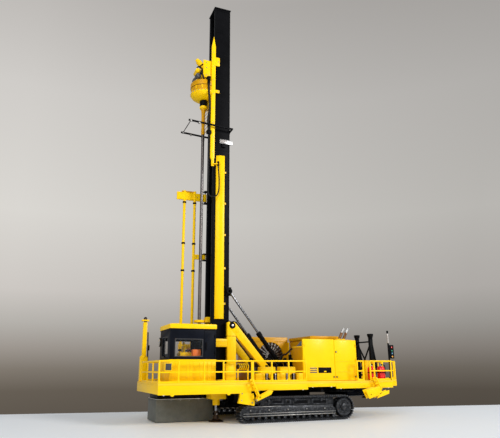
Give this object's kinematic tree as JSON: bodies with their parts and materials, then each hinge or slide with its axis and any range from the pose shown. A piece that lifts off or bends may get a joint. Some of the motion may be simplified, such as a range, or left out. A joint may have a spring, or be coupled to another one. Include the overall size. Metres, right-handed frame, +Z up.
{
  "type": "scale model of a blasthole drilling rig",
  "caption": "Tall crawler drilling rig model: wide deck on tracks, tall channel mast with sliding rotary head, cab, engine house, jacks and handrails.",
  "frame": {"origin": "centre of the footprint, on the ground under the tracks", "axes": "+X from the drill end towards the engine end, +Y away from the cab side, +Z up"},
  "size_m": [0.306, 0.159, 0.5345],
  "materials": {
    "yellow_paint": "gloss",
    "black_paint": "satin",
    "grey_rubber": "matt",
    "grey_paint": "satin",
    "track_plastic": "matt",
    "chrome_rod": "polished",
    "pipe_steel": "satin",
    "window_glass": "clear",
    "red_paint": "gloss",
    "seat_plastic": "matt",
    "hose_rubber": "satin"
  },
  "bodies": {
    "rig": {"deck_plate": "yellow_paint", "deck_fascia": "yellow_paint", "deck_frame": "yellow_paint", "tail_box": "grey_paint", "drill_table": "grey_paint", "handrails": "yellow_paint", "end_tower": "yellow_paint", "dust_hood": "grey_rubber", "cab_base": "yellow_paint", "cab_walls": "black_paint", "cab_windows": "window_glass", "cab_seat": "seat_plastic", "cab_roof": "yellow_paint", "mast_towers": "yellow_paint", "car_body": "grey_paint", "jack_housings": "yellow_paint", "engine_house": "yellow_paint", "far_house": "yellow_paint", "centre_canopy": "yellow_paint", "cooler_box": "yellow_paint", "cooler_fan": "grey_paint", "engine_block": "grey_paint", "exhaust_stacks": "grey_paint", "deck_boxes": "yellow_paint", "dust_collector": "yellow_paint", "fire_bottles": "red_paint", "mast_rest": "black_paint", "signal_pole": "black_paint", "track_near": "track_plastic", "track_far": "track_plastic", "track_wheels_near": "track_plastic", "track_wheels_far": "track_plastic", "track_frame_near": "track_plastic", "track_frame_far": "track_plastic"},
    "mast": {"mast_frame": "black_paint", "mast_pivots": "black_paint", "mast_crown": "black_paint", "hose_tray": "yellow_paint", "guard_frame": "black_paint", "lamp_bracket": "black_paint"},
    "head": {"gearcase": "yellow_paint", "head_motors": "yellow_paint", "carriage": "yellow_paint", "swivel": "pipe_steel", "drill_pipe": "pipe_steel", "head_hose": "hose_rubber", "loop_hose": "hose_rubber"},
    "pipe_rack": {"pipe_rack": "yellow_paint"},
    "barrel_near": {"barrel_near": "pipe_steel"},
    "rod_near": {"rod_near": "chrome_rod"},
    "jack_front_near": {"jack_front_near": "pipe_steel"},
    "jack_rear_near": {"jack_rear_near": "pipe_steel"},
    "barrel_far": {"barrel_far": "pipe_steel"},
    "rod_far": {"rod_far": "chrome_rod"},
    "jack_front_far": {"jack_front_far": "pipe_steel"},
    "jack_rear_far": {"jack_rear_far": "pipe_steel"},
    "ladder_near": {"ladder_near": "yellow_paint"},
    "ladder_far": {"ladder_far": "yellow_paint"},
    "ladder_rear": {"ladder_rear": "yellow_paint"}
  },
  "joints": [
    {"name": "mast_tilt", "type": "hinge", "parent": "rig", "child": "mast", "pos_m": [-0.0588, 0, 0.1022], "axis": [0, 1, 0], "range_deg": [0, 90]},
    {"name": "head_feed", "type": "slide", "parent": "mast", "child": "head", "axis": [0, 0, 1], "range_m": [-0.031, 0.045]},
    {"name": "rack_swing", "type": "hinge", "parent": "mast", "child": "pipe_rack", "pos_m": [-0.0824, 0.0165, 0.072], "axis": [0, 0, 1], "range_deg": [-90, 0]},
    {"name": "cylinder_pivot_near", "type": "hinge", "parent": "rig", "child": "barrel_near", "pos_m": [0.0127, -0.0172, 0.0455], "axis": [0, 1, 0], "range_deg": [0, 9.07]},
    {"name": "cylinder_stroke_near", "type": "slide", "parent": "barrel_near", "child": "rod_near", "axis": [-0.6087, 0, 0.7934], "range_m": [-0.05423, 0]},
    {"name": "cylinder_pivot_far", "type": "hinge", "parent": "rig", "child": "barrel_far", "pos_m": [0.0127, 0.0172, 0.0455], "axis": [0, 1, 0], "range_deg": [0, 9.07]},
    {"name": "cylinder_stroke_far", "type": "slide", "parent": "barrel_far", "child": "rod_far", "axis": [-0.6087, 0, 0.7934], "range_m": [-0.05423, 0]},
    {"name": "jack_front_near", "type": "slide", "parent": "rig", "child": "jack_front_near", "axis": [0, 0, 1], "range_m": [0, 0.012]},
    {"name": "jack_front_far", "type": "slide", "parent": "rig", "child": "jack_front_far", "axis": [0, 0, 1], "range_m": [0, 0.012]},
    {"name": "jack_rear_near", "type": "slide", "parent": "rig", "child": "jack_rear_near", "axis": [0, 0, 1], "range_m": [-0.0205, 0.002]},
    {"name": "jack_rear_far", "type": "slide", "parent": "rig", "child": "jack_rear_far", "axis": [0, 0, 1], "range_m": [-0.0205, 0.002]},
    {"name": "ladder_near_hinge", "type": "hinge", "parent": "rig", "child": "ladder_near", "pos_m": [-0.054, -0.0757, 0.0355], "axis": [0, 1, 0], "range_deg": [-50, 25]},
    {"name": "ladder_far_hinge", "type": "hinge", "parent": "rig", "child": "ladder_far", "pos_m": [-0.054, 0.0757, 0.0355], "axis": [0, 1, 0], "range_deg": [-50, 25]},
    {"name": "ladder_rear_hinge", "type": "hinge", "parent": "rig", "child": "ladder_rear", "pos_m": [0.085, -0.0757, 0.0355], "axis": [0, 1, 0], "range_deg": [-40, 35]}
  ],
  "couplings": [
    {"joint": "cylinder_pivot_near", "follows": "mast_tilt", "ratio": 0.10022},
    {"joint": "cylinder_stroke_near", "follows": "mast_tilt", "m_per_rad": -0.034459},
    {"joint": "cylinder_pivot_far", "follows": "mast_tilt", "ratio": 0.10022},
    {"joint": "cylinder_stroke_far", "follows": "mast_tilt", "m_per_rad": -0.034459}
  ]
}
